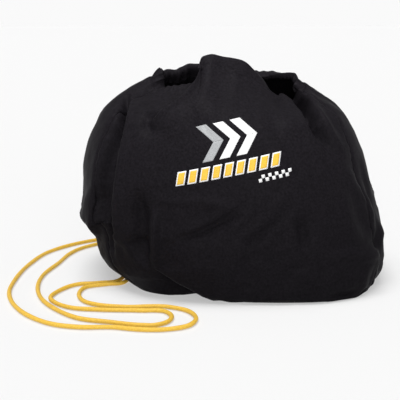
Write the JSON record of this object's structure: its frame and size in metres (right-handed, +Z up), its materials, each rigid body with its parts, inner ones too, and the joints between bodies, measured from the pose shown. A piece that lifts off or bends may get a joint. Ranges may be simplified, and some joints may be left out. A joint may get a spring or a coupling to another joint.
{
  "type": "motorcycle helmet bag",
  "caption": "Soft drawstring bag for a full-face helmet, standing filled with its gathered mouth half shut and a loose cord with knotted ends.",
  "frame": {"origin": "on the surface that the bag stands on, under the middle of the bag without its loose cord", "axes": "+Z up, +X to the right and +Y to the back, seen from the printed front"},
  "size_m": [0.4346, 0.3538, 0.2587],
  "materials": {
    "black_cloth": "thin woven polyester with a soft sheen",
    "black_hem": "the same cloth folded double and stitched",
    "yellow_cord": "round braided golden yellow cord",
    "print": "thin screen-printed ink in white and yellow on the cloth"
  },
  "bodies": {
    "root": {"front_panel": "black_cloth", "back_panel": "black_cloth", "gusset": "black_cloth", "casing": "black_hem", "casing_cord": "yellow_cord", "cord_outer": "yellow_cord", "cord_inner": "yellow_cord", "cord_knot": "yellow_cord"}
  },
  "joints": []
}
